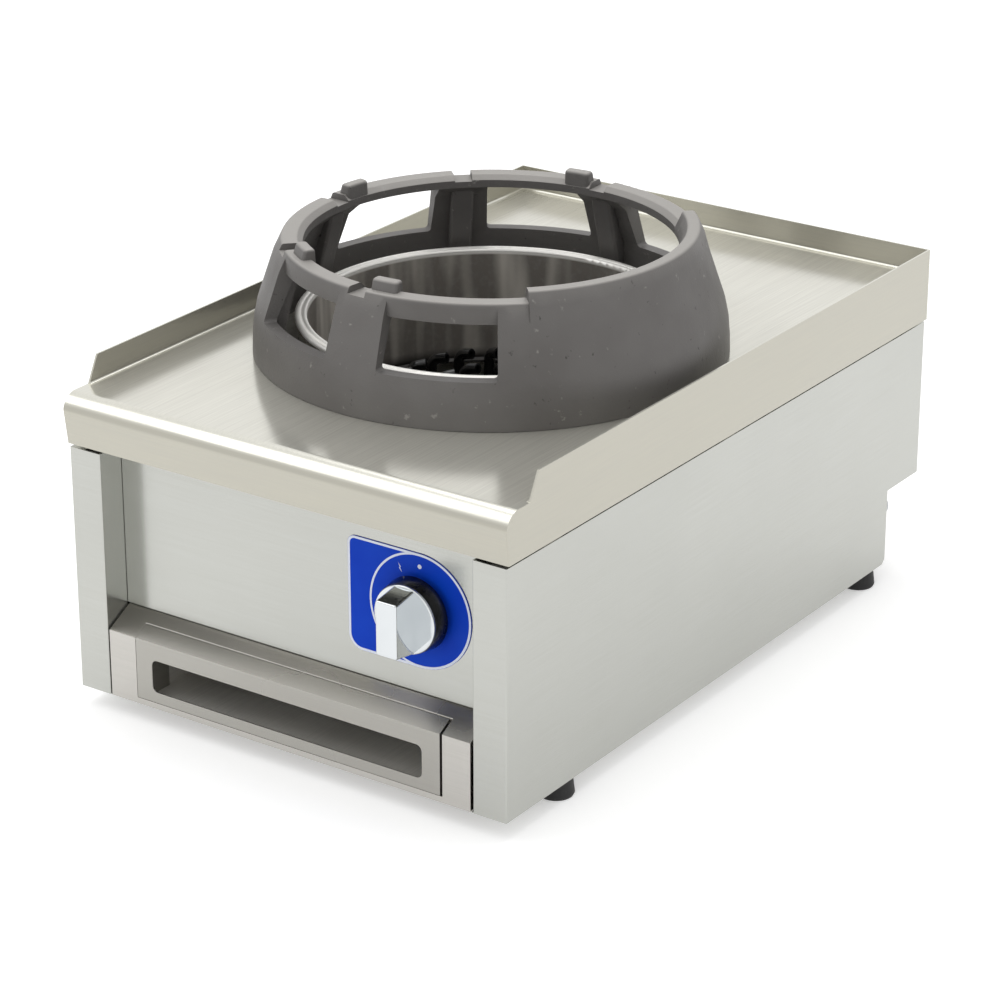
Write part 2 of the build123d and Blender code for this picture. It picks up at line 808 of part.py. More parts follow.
with BuildPart() as air_shutter:
    with BuildSketch(facing(bell_front + 16)):
        with Locations((0, tube_z)):
            Circle(26.0)
            Circle(24.06, mode=Mode.SUBTRACT)
    extrude(amount=22)
    with BuildSketch(facing(bell_front - 4)):
        with Locations((0, tube_z)):
            Circle(26.0)
            Circle(9.0, mode=Mode.SUBTRACT)
            with PolarLocations(17, 6):
                Circle(4.0, mode=Mode.SUBTRACT)
    extrude(amount=2)
    with BuildSketch(Plane.XY.offset(tube_z + 24.5)):
        with Locations((0, back(bell_front + 10))):
            Circle(5.0)
            Circle(2.55, mode=Mode.SUBTRACT)
    extrude(amount=7)
    with BuildSketch(Plane.XY.offset(tube_z + 22)):
        with Locations((0, back(bell_front + 10))):
            Circle(2.55)
    extrude(amount=8, mode=Mode.SUBTRACT)
keep(air_shutter, "air_shutter")

with BuildPart() as shutter_screw:
    with BuildSketch(Plane.XY.offset(tube_z + 24.4)):
        with Locations((0, back(bell_front + 10))):
            Circle(2.5)
    extrude(amount=8)
    with BuildSketch(Plane.XY.offset(tube_z + 32.0)):
        with Locations((0, back(bell_front + 10))):
            Circle(4.6)
    extrude(amount=3)
keep(shutter_screw, "shutter_screw")

casting_low = 108.0
casting_high = 165.0
pedestal_low = 66.0
jet_circles = (("jets_outer", 78.0, 20, 0.0), ("jets_inner", 46.0, 10, 9.0))
jet_lean = 30.0
jet_radius = 4.3
jet_bore = 2.6
jet_rise = 30.0
jet_bend = 9.5
jet_turn = 78.0
jet_end = 6.0
wall = 5.0
with BuildPart() as burner_casting:
    with BuildSketch(Plane.XZ.offset(-burner_y)):
        with BuildLine():
            Polyline(
                (0, up(pedestal_low)), (24, up(pedestal_low)), (24, up(pedestal_low + 5)),
                (16, up(pedestal_low + 9)), (16, up(casting_low - 6)),
                (40, up(casting_low)), (casting_radius - 8, up(casting_low + 8)),
                (casting_radius, up(casting_low + 16)), (casting_radius, up(casting_high - 3)),
                (casting_radius - 3, up(casting_high)), (0, up(casting_high)), close=True,
            )
        make_face()
    revolve(axis=Axis((0, burner_y, 0), (0, 0, 1)))
    with BuildSketch(Plane.XZ.offset(-burner_y)):
        with BuildLine():
            Polyline(
                (0, up(casting_low + wall)), (38, up(casting_low + wall)),
                (casting_radius - wall - 4, up(casting_low + 8 + wall)),
                (casting_radius - wall, up(casting_low + 17)),
                (casting_radius - wall, up(casting_high - wall)),
                (0, up(casting_high - wall)), close=True,
            )
        make_face()
    revolve(axis=Axis((0, burner_y, 0), (0, 0, 1)), mode=Mode.SUBTRACT)
    # neck that takes the mixing tube
    with BuildSketch(facing(tube_end)):
        with Locations((0, tube_z)):
            Circle(23.0)
    extrude(amount=-12)
    with BuildSketch(facing(tube_end)):
        with Locations((0, tube_z)):
            Circle(18.0)
    extrude(amount=-30, mode=Mode.SUBTRACT)
    # gas ways under the jets
    with BuildSketch(Plane.XY.offset(up(casting_high) - wall - 1)):
        with Locations((0, burner_y)):
            for _, pitch_radius, count, start_angle in jet_circles:
                with PolarLocations(pitch_radius, count, start_angle=start_angle):
                    Circle(jet_bore)
    extrude(amount=wall + 2, mode=Mode.SUBTRACT)
keep(burner_casting, "burner_casting")

with BuildPart() as jet:
    with BuildLine(Plane.XZ):
        stem = Line((0, 0), (0, jet_rise))
        curl = JernArc(start=stem @ 1, tangent=stem % 1, radius=jet_bend, arc_size=jet_turn)
        Line(curl @ 1, curl @ 1 + (curl % 1) * jet_end)
    with BuildSketch(Plane.XY):
        Circle(jet_radius)
        Circle(jet_bore, mode=Mode.SUBTRACT)
    sweep()
    with BuildSketch(Plane.XY):
        Circle(jet_radius + 2.0)
        Circle(jet_bore, mode=Mode.SUBTRACT)
    extrude(amount=5.0)
# the jets lean round the burner, so that the flame turns
leaning_jet = jet.part.rotate(Axis.Z, jet_lean)

for label, pitch_radius, count, start_angle in jet_circles:
    with BuildPart() as jet_group:
        with Locations((0, burner_y, up(casting_high))):
            with PolarLocations(pitch_radius, count, start_angle=start_angle):
                add(leaning_jet)
    keep(jet_group, label)

bar_high = pedestal_low
with BuildPart() as burner_bar:
    slab((-body_half + sheet + 0.3, body_half - sheet - 0.3), (burner_back - 22, burner_back + 22),
         (bar_high - 2, bar_high))
    for s in (-1, 1):
        slab((-body_half + sheet + 0.3, body_half - sheet - 0.3),
             (burner_back + s * 21 - 1, burner_back + s * 21 + 1), (bar_high - 10, bar_high))
        edge = s * (body_half - sheet - 0.3)
        slab((min(edge, edge - 2 * s), max(edge, edge - 2 * s)),
             (burner_back - 22, burner_back + 22), (bar_high - 2, bar_high + 22))
keep(burner_bar, "burner_bar")

# ----------------------------------------------------------------- insert
insert_wall = 1.2
insert_radius = 141.8
insert_waist = 174.0
insert_low = 171.5
insert_mouth = 138.5
roll_radius = 2.8
roll_centre = collar_radius      # the rolled rim rests on the collar
inner_roll = 2.0                 # bend where the rim runs into the wall
with BuildPart() as burner_insert:
    with BuildSketch(Plane.XZ.offset(-burner_y)):
        with BuildLine():
            Polyline(
                (insert_mouth, up(insert_low)),
                (insert_radius, up(insert_waist)),
                (insert_radius, up(insert_rim - roll_radius)),
                (insert_radius - insert_wall, up(insert_rim - roll_radius)),
                (insert_radius - insert_wall, up(insert_waist + 0.8)),
                (insert_mouth, up(insert_low + 1.4)),
                close=True,
            )
        make_face()
        with Locations((roll_centre, up(insert_rim - roll_radius))):
            Circle(roll_radius)
        with Locations((insert_radius + 0.8, up(insert_rim - inner_roll))):
            Circle(inner_roll)
        with Locations((insert_radius + 0.8, up(insert_rim - 2.4))):
            Rectangle(roll_centre - insert_radius - 0.8, 1.4, align=(Align.MIN, Align.MIN))
    revolve(axis=Axis((0, burner_y, 0), (0, 0, 1)))
keep(burner_insert, "burner_insert")

# --------------------------------------------------------------- wok ring
ring_wall = 11.0
ring_clear = 0.3           # the casting's foot, above the deck's own surface
ring_rim_inner = 142.5     # the rim stands further in than the wall below it
ring_rim_low = 318.0       # underside of the rim, at its inner face
ring_bar_outer = 160.6     # outer face of the rim where it bridges a window
wall_start = -45.5         # the high wall is on the right, without windows
wall_sweep = 90.5
lug_height = 8.0
lug_half_angle = 4.2
lug_angles = (96.8, 171.2, 235.6, 274.3)
notch_depth = 5.0
notch_half_angle = 2.8
notch_angles = (89.2, 133.6, 178.9, 226.8, 267.2)
rib_half_width = 9.0
sector_inner = 100.0
sector_outer = 230.0
ring_axis = Axis((0, burner_y, 0), (0, 0, 1))


def ring_section(crest, rounding):
    """Half section of the casting, from its foot up over the crest's points."""
    low = deck_height + ring_clear
    with BuildSketch(Plane.XZ.offset(-burner_y)) as section:
        with BuildLine():
            Polyline(
                (ring_base_radius - ring_wall, up(low)),
                (ring_base_radius, up(low)),
                (ring_base_radius - 0.4, up(low + 12)),
                (181.0, up(264.0)),
                (178.3, up(276.5)),
                (166.0, up(313.0)),
                *[(radius, up(height)) for radius, height in crest],
                (ring_rim_inner, up(ring_rim_height - 4.0)),
                (ring_rim_inner, up(ring_rim_low)),
                (154.5, up(308.0)),
                (168.4, up(276.5)),
                (170.6, up(262.0)),
                close=True,
            )
        make_face()
        top = up(crest[-1][1]) - 0.1
        fillet(section.vertices().filter_by(lambda v: v.Y > top), rounding)
    return section.sketch


def ring_sector(angle, half_angle):
    """Corners in plan of a wedge that spans the casting's wall at this bearing."""
    corners = []
    for radius, side in (
        (sector_inner, -1), (sector_outer, -1), (sector_outer, 1), (sector_inner, 1)
    ):
        bearing = radians(angle + side * half_angle)
        corners.append((radius * cos(bearing), burner_y + radius * sin(bearing)))
    return corners


with BuildSketch(Plane.XZ) as lug_section:
    with BuildLine():
        Polyline(
            (143.0, up(ring_rim_height - 9)), (157.0, up(ring_rim_height - 9)),
            (151.8, up(ring_rim_height + lug_height)),
            (143.2, up(ring_rim_height + lug_height)),
            (142.6, up(ring_rim_height - 4)), close=True,
        )
    make_face()
    fillet(lug_section.vertices().filter_by(lambda v: v.Y > up(ring_rim_height)), 3.0)
with BuildPart() as lug:
    revolve(
        lug_section.sketch.rotate(Axis.Z, -lug_half_angle),
        axis=Axis.Z, revolution_arc=2 * lug_half_angle,
    )
    lug_ends = lug.faces().filter_by(GeomType.PLANE).filter_by(
        lambda f: abs(f.normal_at().Z) < 0.01
    )
    lug_end_edges = lug_ends.edges().filter_by(lambda e: e.center().Z > up(ring_rim_height + 1))
    fillet(lug_end_edges, radius=2.6)

with BuildPart() as rib:
    with BuildSketch(Plane.XZ):
        with BuildLine():
            Polyline(
                (162.0, up(258.0)), (149.0, up(306.0)),
                (145.6, up(ring_rim_height - notch_depth)),
                (156.0, up(ring_rim_height - notch_depth)),
                (174.0, up(276.5)), (177.0, up(258.0)), close=True,
            )
        make_face()
    extrude(amount=rib_half_width, both=True)
    rib_edges = rib.edges().filter_by(
        lambda e: abs(e.center().Y) > 1 and e.center().X < 156 and e.bounding_box().size.Z > 5
    )
    fillet(rib_edges, radius=2.5)

# the room of one window: its head rises inwards, its lower corners are rounded
head_rise = (ring_rim_low - window_high) / (ring_bar_outer - ring_rim_inner)
head_drop = 5.0            # more than the head falls over the wall outside the bar
with BuildPart() as window_tool:
    with BuildSketch(Plane.XZ.offset(-burner_y)) as window_section:
        with BuildLine():
            Polyline(
                (sector_inner, up(window_low)),
                (sector_outer, up(window_low)),
                (sector_outer, up(window_high - head_rise * (sector_outer - ring_bar_outer))),
                (sector_inner, up(window_high + head_rise * (ring_bar_outer - sector_inner))),
                close=True,
            )
        make_face()
    revolve(
        window_section.sketch.rotate(ring_axis, -window_half_angle),
        axis=ring_axis, revolution_arc=2 * window_half_angle, mode=Mode.REPLACE,
    )
    window_corners = window_tool.edges().filter_by(
        lambda e: e.center().Z < up(window_low) + 0.1
        and abs(e.length - (sector_outer - sector_inner)) < 0.1
    )
    fillet(window_corners, radius=3.0)

rim_section = ring_section(
    [(158.8, ring_rim_height), (147.0, ring_rim_height)], 2.6
)
wall_section = ring_section(
    [(162.0, ring_rim_height - 1), (157.5, ring_wall_height), (148.5, ring_wall_height)], 3.0
)

with BuildPart() as wok_ring:
    revolve(rim_section, axis=ring_axis)
    revolve(
        wall_section.rotate(ring_axis, wall_start), axis=ring_axis, revolution_arc=wall_sweep
    )
    # ribs inside the posts, then the notches above them
    with Locations((0, burner_y, 0)):
        for angle in notch_angles:
            add(rib.part.rotate(Axis.Z, angle))
    with BuildSketch(Plane.XY.offset(up(ring_rim_height - notch_depth))):
        for angle in notch_angles:
            with BuildLine():
                Polyline(*ring_sector(angle, notch_half_angle), close=True)
            make_face()
    extrude(amount=notch_depth + 3, mode=Mode.SUBTRACT)
    # the rim is set back over each window, down past the window's sloped head
    with BuildSketch(Plane.XY.offset(up(window_high - head_drop))):
        for angle in window_angles:
            with BuildLine():
                Polyline(*ring_sector(angle, window_half_angle), close=True)
            make_face()
        with Locations((0, burner_y)):
            Circle(ring_bar_outer, mode=Mode.SUBTRACT)
    extrude(amount=ring_rim_height - window_high + head_drop + 1, mode=Mode.SUBTRACT)
    # lugs that carry the wok
    with Locations((0, burner_y, 0)):
        for angle in lug_angles:
            add(lug.part.rotate(Axis.Z, angle))
    # windows between the posts
    for angle in window_angles:
        add(window_tool.part.rotate(ring_axis, angle), mode=Mode.SUBTRACT)
keep(wok_ring, "wok_ring")

# ----------------------------------------------------------------- drawer
tray_half = 131.5
tray_low = 8.0
tray_top = 34.0
tray_back = 520.0
tray_sheet = 1.0
lip_out = 139.5            # side lips that ride in the runners
slot_left = -126.0
slot_right = 123.5
slot_low = 14.0
slot_high = 40.5
drawer_left = drawer_shift - drawer_half
drawer_right = drawer_shift + drawer_half
front_low = rail_height + 0.4
middle = drawer_shift

with BuildPart() as drawer_front:
    with BuildSketch(Plane.YZ.offset(drawer_left)):
        with BuildLine():
            Polyline(
                (back(0), up(front_low)),
                (back(0), up(ledge_low)),
                (back(drawer_flange), up(ledge_low + slope_rise * drawer_flange / recess_depth)),
            )
            offset(amount=sheet, side=Side.RIGHT)
        make_face()
    extrude(amount=2 * drawer_half)
    for edge, inner in ((drawer_left, drawer_left + sheet), (drawer_right, drawer_right - sheet)):
        slab((min(edge, inner), max(edge, inner)), (0, 15), (front_low, ledge_low - 1))
    with BuildSketch(facing(-1)):
        with Locations(((slot_left + slot_right) / 2, up((slot_low + slot_high) / 2))):
            RectangleRounded(slot_right - slot_left, slot_high - slot_low, 5.0)
    extrude(amount=-(sheet + 2), mode=Mode.SUBTRACT)
keep(drawer_front, "drawer_front")

with BuildPart() as drip_tray:
    slab((middle - tray_half, middle + tray_half), (sheet, tray_back), (tray_low, tray_top))
    slab(
        (middle - tray_half + tray_sheet, middle + tray_half - tray_sheet),
        (sheet + tray_sheet, tray_back - tray_sheet), (tray_low + tray_sheet, tray_top + 1),
        mode=Mode.SUBTRACT,
    )
    # low front wall, so that the slot opens into the tray
    slab(
        (middle - tray_half + tray_sheet, middle + tray_half - tray_sheet),
        (sheet - 1, sheet + tray_sheet + 1), (slot_low - 1, tray_top + 1), mode=Mode.SUBTRACT,
    )
    for s in (-1, 1):
        inner = middle + s * tray_half
        outer = middle + s * lip_out
        slab((min(inner, outer), max(inner, outer)), (28, tray_back),
             (tray_top - tray_sheet, tray_top))
keep(drip_tray, "drip_tray")

with BuildPart() as drawer_brackets:
    for s in (-1, 1):
        wall_x = middle + s * (tray_half - tray_sheet)
        slab((min(wall_x, wall_x - s * 1.5), max(wall_x, wall_x - s * 1.5)),
             (sheet + tray_sheet, 24), (tray_low + tray_sheet, 46))
        slab((min(wall_x, wall_x - s * 8), max(wall_x, wall_x - s * 8)),
             (sheet, sheet + tray_sheet), (slot_high + 1, 50))
        slab((min(wall_x, wall_x - s * 1.5), max(wall_x, wall_x - s * 1.5)),
             (sheet, 24), (slot_high + 1, 50))
keep(drawer_brackets, "drawer_brackets")

runner_wall = 147.0
runner_edge = tray_half + 3.0
runner_gap = 0.4
runner_front = 27.0
runner_back = 528.0
with BuildPart() as runner_right:
    with BuildSketch(facing(runner_front)):
        with BuildLine():
            Polyline(
                (runner_wall + 15, up(plate_high)),
                (runner_wall, up(plate_high)),
                (runner_wall, up(tray_top + runner_gap)),
                (runner_edge, up(tray_top + runner_gap)),
            )
            offset(amount=sheet, side=Side.RIGHT)
        make_face()
    extrude(amount=runner_front - runner_back)
    slab((runner_edge, runner_wall), (runner_front, runner_back),
         (tray_top - tray_sheet - runner_gap - sheet, tray_top - tray_sheet - runner_gap))
keep(runner_right, "runner_right")

with BuildPart() as runner_left:
    mirror(runner_right.part, about=Plane.YZ)
keep(runner_left, "runner_left")

# ----------------------------------------------- heat shield, pilot, leads
shield_depth = 150.0
shield_high = 166.0
pilot_lead_x = 62.2
probe_lead_x = 76.0
spark_lead_x = 136.0
lead_height = 148.0
spark_height = 104.0
with BuildPart() as heat_shield:
    half = body_half - sheet - 0.3
    slab((-half, half), (shield_depth, shield_depth + sheet), (ledge_high, shield_high))
    slab((-half, half), (shield_depth, shield_depth + 14), (shield_high - sheet, shield_high))
    for s in (-1, 1):
        slab((min(s * half, s * (half - sheet)), max(s * half, s * (half - sheet))),
             (shield_depth, shield_depth + 14), (ledge_high, shield_high))
    with BuildSketch(facing(shield_depth - 1)):
        with Locations((0, up(tube_height))):
            Circle(19.0)
        with Locations(((pilot_lead_x + probe_lead_x) / 2, up(lead_height))):
            RectangleRounded(34, 16, 6)
        with Locations((spark_lead_x, up(spark_height))):
            Circle(6.0)
    extrude(amount=-(sheet + 2), mode=Mode.SUBTRACT)
keep(heat_shield, "heat_shield")

pilot_reach = 98.0
pilot_angle = -45.0
probe_offset = 12.0
bracket_thick = 1.5


def beside_burner(reach, sideways):
    """Point at the pilot's bearing, this far from the burner's axis and to its side."""
    bearing = radians(pilot_angle)
    return (
        reach * cos(bearing) - sideways * sin(bearing),
        burner_y + reach * sin(bearing) + sideways * cos(bearing),
    )


pilot_x, pilot_y = beside_burner(pilot_reach, 0)
probe_x, probe_y = beside_burner(pilot_reach, probe_offset)
spark_x, spark_y = beside_burner(pilot_reach, -probe_offset)
bracket_top = up(casting_high) + bracket_thick

with BuildPart() as pilot_bracket:
    with BuildSketch(Plane.XY.offset(up(casting_high))):
        with Locations((0, burner_y)):
            with Locations(Location((0, 0, 0), (0, 0, pilot_angle))):
                with Locations((82, 0)):
                    Rectangle(16, 9)
                with Locations((pilot_reach - 2, 0)):
                    Rectangle(20, 42)
        with Locations((pilot_x, pilot_y)):
            Circle(3.05, mode=Mode.SUBTRACT)
        with Locations((probe_x, probe_y)):
            Circle(2.45, mode=Mode.SUBTRACT)
        with Locations((spark_x, spark_y)):
            Circle(3.25, mode=Mode.SUBTRACT)
    extrude(amount=bracket_thick)
keep(pilot_bracket, "pilot_bracket")

with BuildPart() as pilot_burner:
    with BuildSketch(Plane.XY.offset(bracket_top)):
        with Locations((pilot_x, pilot_y)):
            Circle(5.0)
            Circle(1.6, mode=Mode.SUBTRACT)
    extrude(amount=22)
    with BuildSketch(Plane.XY.offset(bracket_top)):
        with Locations((pilot_x, pilot_y)):
            RegularPolygon(7.0, 6)
            Circle(1.6, mode=Mode.SUBTRACT)
    extrude(amount=6)
    with BuildSketch(Plane.XY.offset(bracket_top + 22)):
        with Locations(Location((pilot_x, pilot_y, 0), (0, 0, pilot_angle + 90))):
            RectangleRounded(18, 10, 2)
    extrude(amount=4)
keep(pilot_burner, "pilot_burner")

lead_z = up(lead_height)
spark_z = up(spark_height)
pilot_port_z = up(knob_height) + tap_radius + 6
pilot_tube = bent_pipe(
    [
        (pilot_x, pilot_y, bracket_top),
        (pilot_x, pilot_y, lead_z),
        (pilot_lead_x, back(112), lead_z),
        (knob_x - 8, back(84), lead_z + 30),
        (knob_x, back(pilot_depth), lead_z + 30),
        (knob_x, back(pilot_depth), pilot_port_z),
    ],
    6.5, 3.0, 2.0,
)
keep(pilot_tube, "pilot_tube")

with BuildPart() as thermocouple:
    with BuildSketch(Plane.XY.offset(bracket_top - 6)):
        with Locations((probe_x, probe_y)):
            Circle(2.4)
    extrude(amount=34)
    probe_tip = thermocouple.edges().filter_by(GeomType.CIRCLE).sort_by(Axis.Z)[-1]
    fillet(probe_tip, radius=1.8)
    with BuildLine() as probe_route:
        FilletPolyline(
            (probe_x, probe_y, bracket_top - 6),
            (probe_x, probe_y, lead_z),
            (probe_lead_x, back(165), lead_z),
            (probe_lead_x, back(140), lead_z),
            (knob_x, back(132), up(knob_height)),
            (knob_x, back(112), up(knob_height)),
            radius=5.0,
        )
    with BuildSketch(Plane(origin=probe_route.line @ 0, z_dir=probe_route.line % 0)):
        Circle(1.5)
    sweep()
keep(thermocouple, "thermocouple")

with BuildPart() as spark_electrode:
    with BuildSketch(Plane.XY.offset(bracket_top - 10)):
        with Locations((spark_x, spark_y)):
            Circle(3.2)
    extrude(amount=30)
    with BuildSketch(Plane.XY.offset(bracket_top)):
        with Locations((spark_x, spark_y)):
            Circle(4.6)
    extrude(amount=4)
    ceramic_tip = spark_electrode.edges().filter_by(GeomType.CIRCLE).sort_by(Axis.Z)[-1]
    fillet(ceramic_tip, radius=1.0)
    with BuildSketch(Plane.XY.offset(bracket_top + 19)):
        with Locations((spark_x, spark_y)):
            Circle(0.9)
    extrude(amount=9)
keep(spark_electrode, "spark_electrode")

piezo_x = knob_x + 43.0
piezo_height = knob_height - 26.0
spark_lead = bent_pipe(
    [
        (spark_x, spark_y, bracket_top - 10),
        (spark_x, spark_y, spark_z),
        (spark_lead_x, back(172), spark_z),
        (spark_lead_x, back(122), spark_z),
        (piezo_x, back(100), up(piezo_height)),
        (piezo_x, back(bracket_front + 48), up(piezo_height)),
    ],
    9.0, 1.6, 0,
)
keep(spark_lead, "spark_lead")

# ------------------------------------------------------------------- feet
stud_radius = 3.95
for label, x, depth in (
    ("foot_front_left", -foot_x, foot_depths[0]),
    ("foot_front_right", foot_x, foot_depths[0]),
    ("foot_rear_left", -foot_x, foot_depths[1]),
    ("foot_rear_right", foot_x, foot_depths[1]),
):
    with BuildPart() as foot:
        with BuildSketch(Plane.XZ.offset(-back(depth))):
            with BuildLine():
                Polyline(
                    (0, 0), (13.0, 0), (14.0, 2.0), (12.5, foot_height - 1.0),
                    (11.5, foot_height), (0, foot_height), close=True,
                )
            make_face()
        revolve(axis=Axis((0, back(depth), 0), (0, 0, 1)))
        with BuildSketch(Plane.XY.offset(foot_height)):
            with Locations((0, back(depth))):
                Circle(stud_radius)
        extrude(amount=22.0)
    with BuildPart() as placed_foot:
        add(foot.part.moved(Location((x, 0, 0))))
    keep(placed_foot, label)

with BuildPart() as foot_nuts:
    with BuildSketch(Plane.XY.offset(up(plate_high))):
        with Locations(*[(s * foot_x, back(d)) for s in (-1, 1) for d in foot_depths]):
            RegularPolygon(7.5, 6)
            Circle(4.0, mode=Mode.SUBTRACT)
    extrude(amount=6.5)
keep(foot_nuts, "foot_nuts")
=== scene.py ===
import json
import math

import bpy
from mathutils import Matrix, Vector


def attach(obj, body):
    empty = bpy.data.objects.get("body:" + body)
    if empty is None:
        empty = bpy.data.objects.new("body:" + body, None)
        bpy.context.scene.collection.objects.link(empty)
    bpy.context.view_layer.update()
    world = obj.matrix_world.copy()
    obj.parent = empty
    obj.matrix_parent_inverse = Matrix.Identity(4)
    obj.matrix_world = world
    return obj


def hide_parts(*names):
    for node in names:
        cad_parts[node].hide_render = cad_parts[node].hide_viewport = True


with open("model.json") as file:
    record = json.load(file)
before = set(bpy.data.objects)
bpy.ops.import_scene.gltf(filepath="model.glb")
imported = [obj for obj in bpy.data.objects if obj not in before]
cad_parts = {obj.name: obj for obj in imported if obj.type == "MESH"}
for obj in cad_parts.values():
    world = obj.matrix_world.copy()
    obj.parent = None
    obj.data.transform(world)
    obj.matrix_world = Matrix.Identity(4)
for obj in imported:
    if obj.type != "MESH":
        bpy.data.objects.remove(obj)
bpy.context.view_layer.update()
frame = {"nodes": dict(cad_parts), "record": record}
nodes = frame["nodes"]
print("frame loaded,", len(nodes), "nodes")

# the camera stands where the photograph was taken from

cameraView = {
    "place": (1.42582, -2.07754, 1.18502),  # metres, at the cook's right
    "azimuth": 34.641,
    "elevation": 23.021,
    "lens": 125.13,
    "sensorWidth": 36.0,
    "clipStart": 0.05,
}

bpy.ops.object.camera_add(
    location=cameraView["place"],
    rotation=(
        math.radians(90 - cameraView["elevation"]), 0, math.radians(cameraView["azimuth"])
    ),
)
camera = bpy.context.object
camera.data.lens = cameraView["lens"]
camera.data.sensor_width = cameraView["sensorWidth"]
camera.data.clip_start = cameraView["clipStart"]
bpy.context.scene.camera = camera
bpy.context.scene.view_settings.view_transform = "Standard"
print("camera placed")


def toLinear(hexColour):
    channels = [int(hexColour[i:i + 2], 16) / 255 for i in (1, 3, 5)]
    return [c / 12.92 if c <= 0.04045 else ((c + 0.055) / 1.055) ** 2.4 for c in channels] + [1.0]


# a Mix node is fed by number: 0 is its factor, 4 and 5 are vectors, 6 and 7 are colours
def addNode(tree, kind, feeds=None, **settings):
    node = tree.nodes.new(kind)
    for name, value in settings.items():
        setattr(node, name, value)
    for socket, value in (feeds or {}).items():
        if isinstance(value, bpy.types.NodeSocket):
            tree.links.new(value, node.inputs[socket])
        else:
            node.inputs[socket].default_value = value
    return node


def newMaterial(name):
    material = bpy.data.materials.new(name)
    material.use_nodes = True
    material.node_tree.nodes.clear()
    return material, material.node_tree


def closeMaterial(tree, shader):
    addNode(tree, "ShaderNodeOutputMaterial", {"Surface": shader.outputs[0]})


def perMetre(millimetres):
    return 1000.0 / millimetres


noiseSpan = {"From Min": 0.3, "From Max": 0.7}  # most of a noise texture's values

studio = {
    "white": "#ffffff",
    "floorSize": 14.0,
    "floorColour": "#f4f4f4",
    "floorLift": 0.36,      # what the eye sees added to the floor, so that it is white
    "ambient": 0.74,
    "keyRadiance": 1.7,
    "keySize": 2.2,
    "keyPlace": (-0.3, 0.7, 2.7),
    "fillRadiance": 1.15,
    "fillSize": 1.9,
    "fillPlace": (-1.6, -1.2, 2.3),
    "lampTarget": (0, 0, 0.18),  # the middle of the range, half way up
}


def seenDirectly(tree):
    # 1 for the eye, for mirrors and through glass, 0 for soft light
    path = addNode(tree, "ShaderNodeLightPath")
    pair = addNode(
        tree, "ShaderNodeMath",
        {0: path.outputs["Is Camera Ray"], 1: path.outputs["Is Glossy Ray"]}, operation="MAXIMUM",
    )
    return addNode(
        tree, "ShaderNodeMath",
        {0: pair.outputs[0], 1: path.outputs["Is Transmission Ray"]}, operation="MAXIMUM",
    ).outputs[0]


world = bpy.data.worlds.new("studioWorld")
bpy.context.scene.world = world
world.use_nodes = True
world.node_tree.nodes.clear()
worldStrength = addNode(
    world.node_tree, "ShaderNodeMapRange",
    {"Value": seenDirectly(world.node_tree), "To Min": studio["ambient"], "To Max": 1.0},
)
background = addNode(
    world.node_tree, "ShaderNodeBackground",
    {"Color": toLinear(studio["white"]), "Strength": worldStrength.outputs[0]},
)
addNode(world.node_tree, "ShaderNodeOutputWorld", {"Surface": background.outputs[0]})

bpy.ops.object.select_all(action="DESELECT")
bpy.ops.mesh.primitive_plane_add(size=studio["floorSize"], location=(0, 0, 0))
floor = bpy.context.object
floor.name = "studioFloor"
floorMaterial, tree = newMaterial("matt white paper floor")
floorDiffuse = addNode(tree, "ShaderNodeBsdfDiffuse", {"Color": toLinear(studio["floorColour"])})
liftStrength = addNode(
    tree, "ShaderNodeMath", {0: seenDirectly(tree), 1: studio["floorLift"]}, operation="MULTIPLY"
)
floorLift = addNode(tree, "ShaderNodeEmission", {"Strength": liftStrength.outputs[0]})
closeMaterial(tree, addNode(
    tree, "ShaderNodeAddShader", {0: floorDiffuse.outputs[0], 1: floorLift.outputs[0]}
))
floor.data.materials.append(floorMaterial)


def softLamp(name, place, size, radiance):
    bpy.ops.object.light_add(type="AREA", location=place)
    lamp = bpy.context.object
    lamp.name = name
    lamp.rotation_euler = (
        Vector(studio["lampTarget"]) - Vector(place)
    ).to_track_quat("-Z", "Y").to_euler()
    lamp.data.shape = "SQUARE"
    lamp.data.size = size
    lamp.data.energy = radiance * math.pi * size * size
    return lamp


softLamp("keyLamp", studio["keyPlace"], studio["keySize"], studio["keyRadiance"])
softLamp("fillLamp", studio["fillPlace"], studio["fillSize"], studio["fillRadiance"])
print("studio ready")


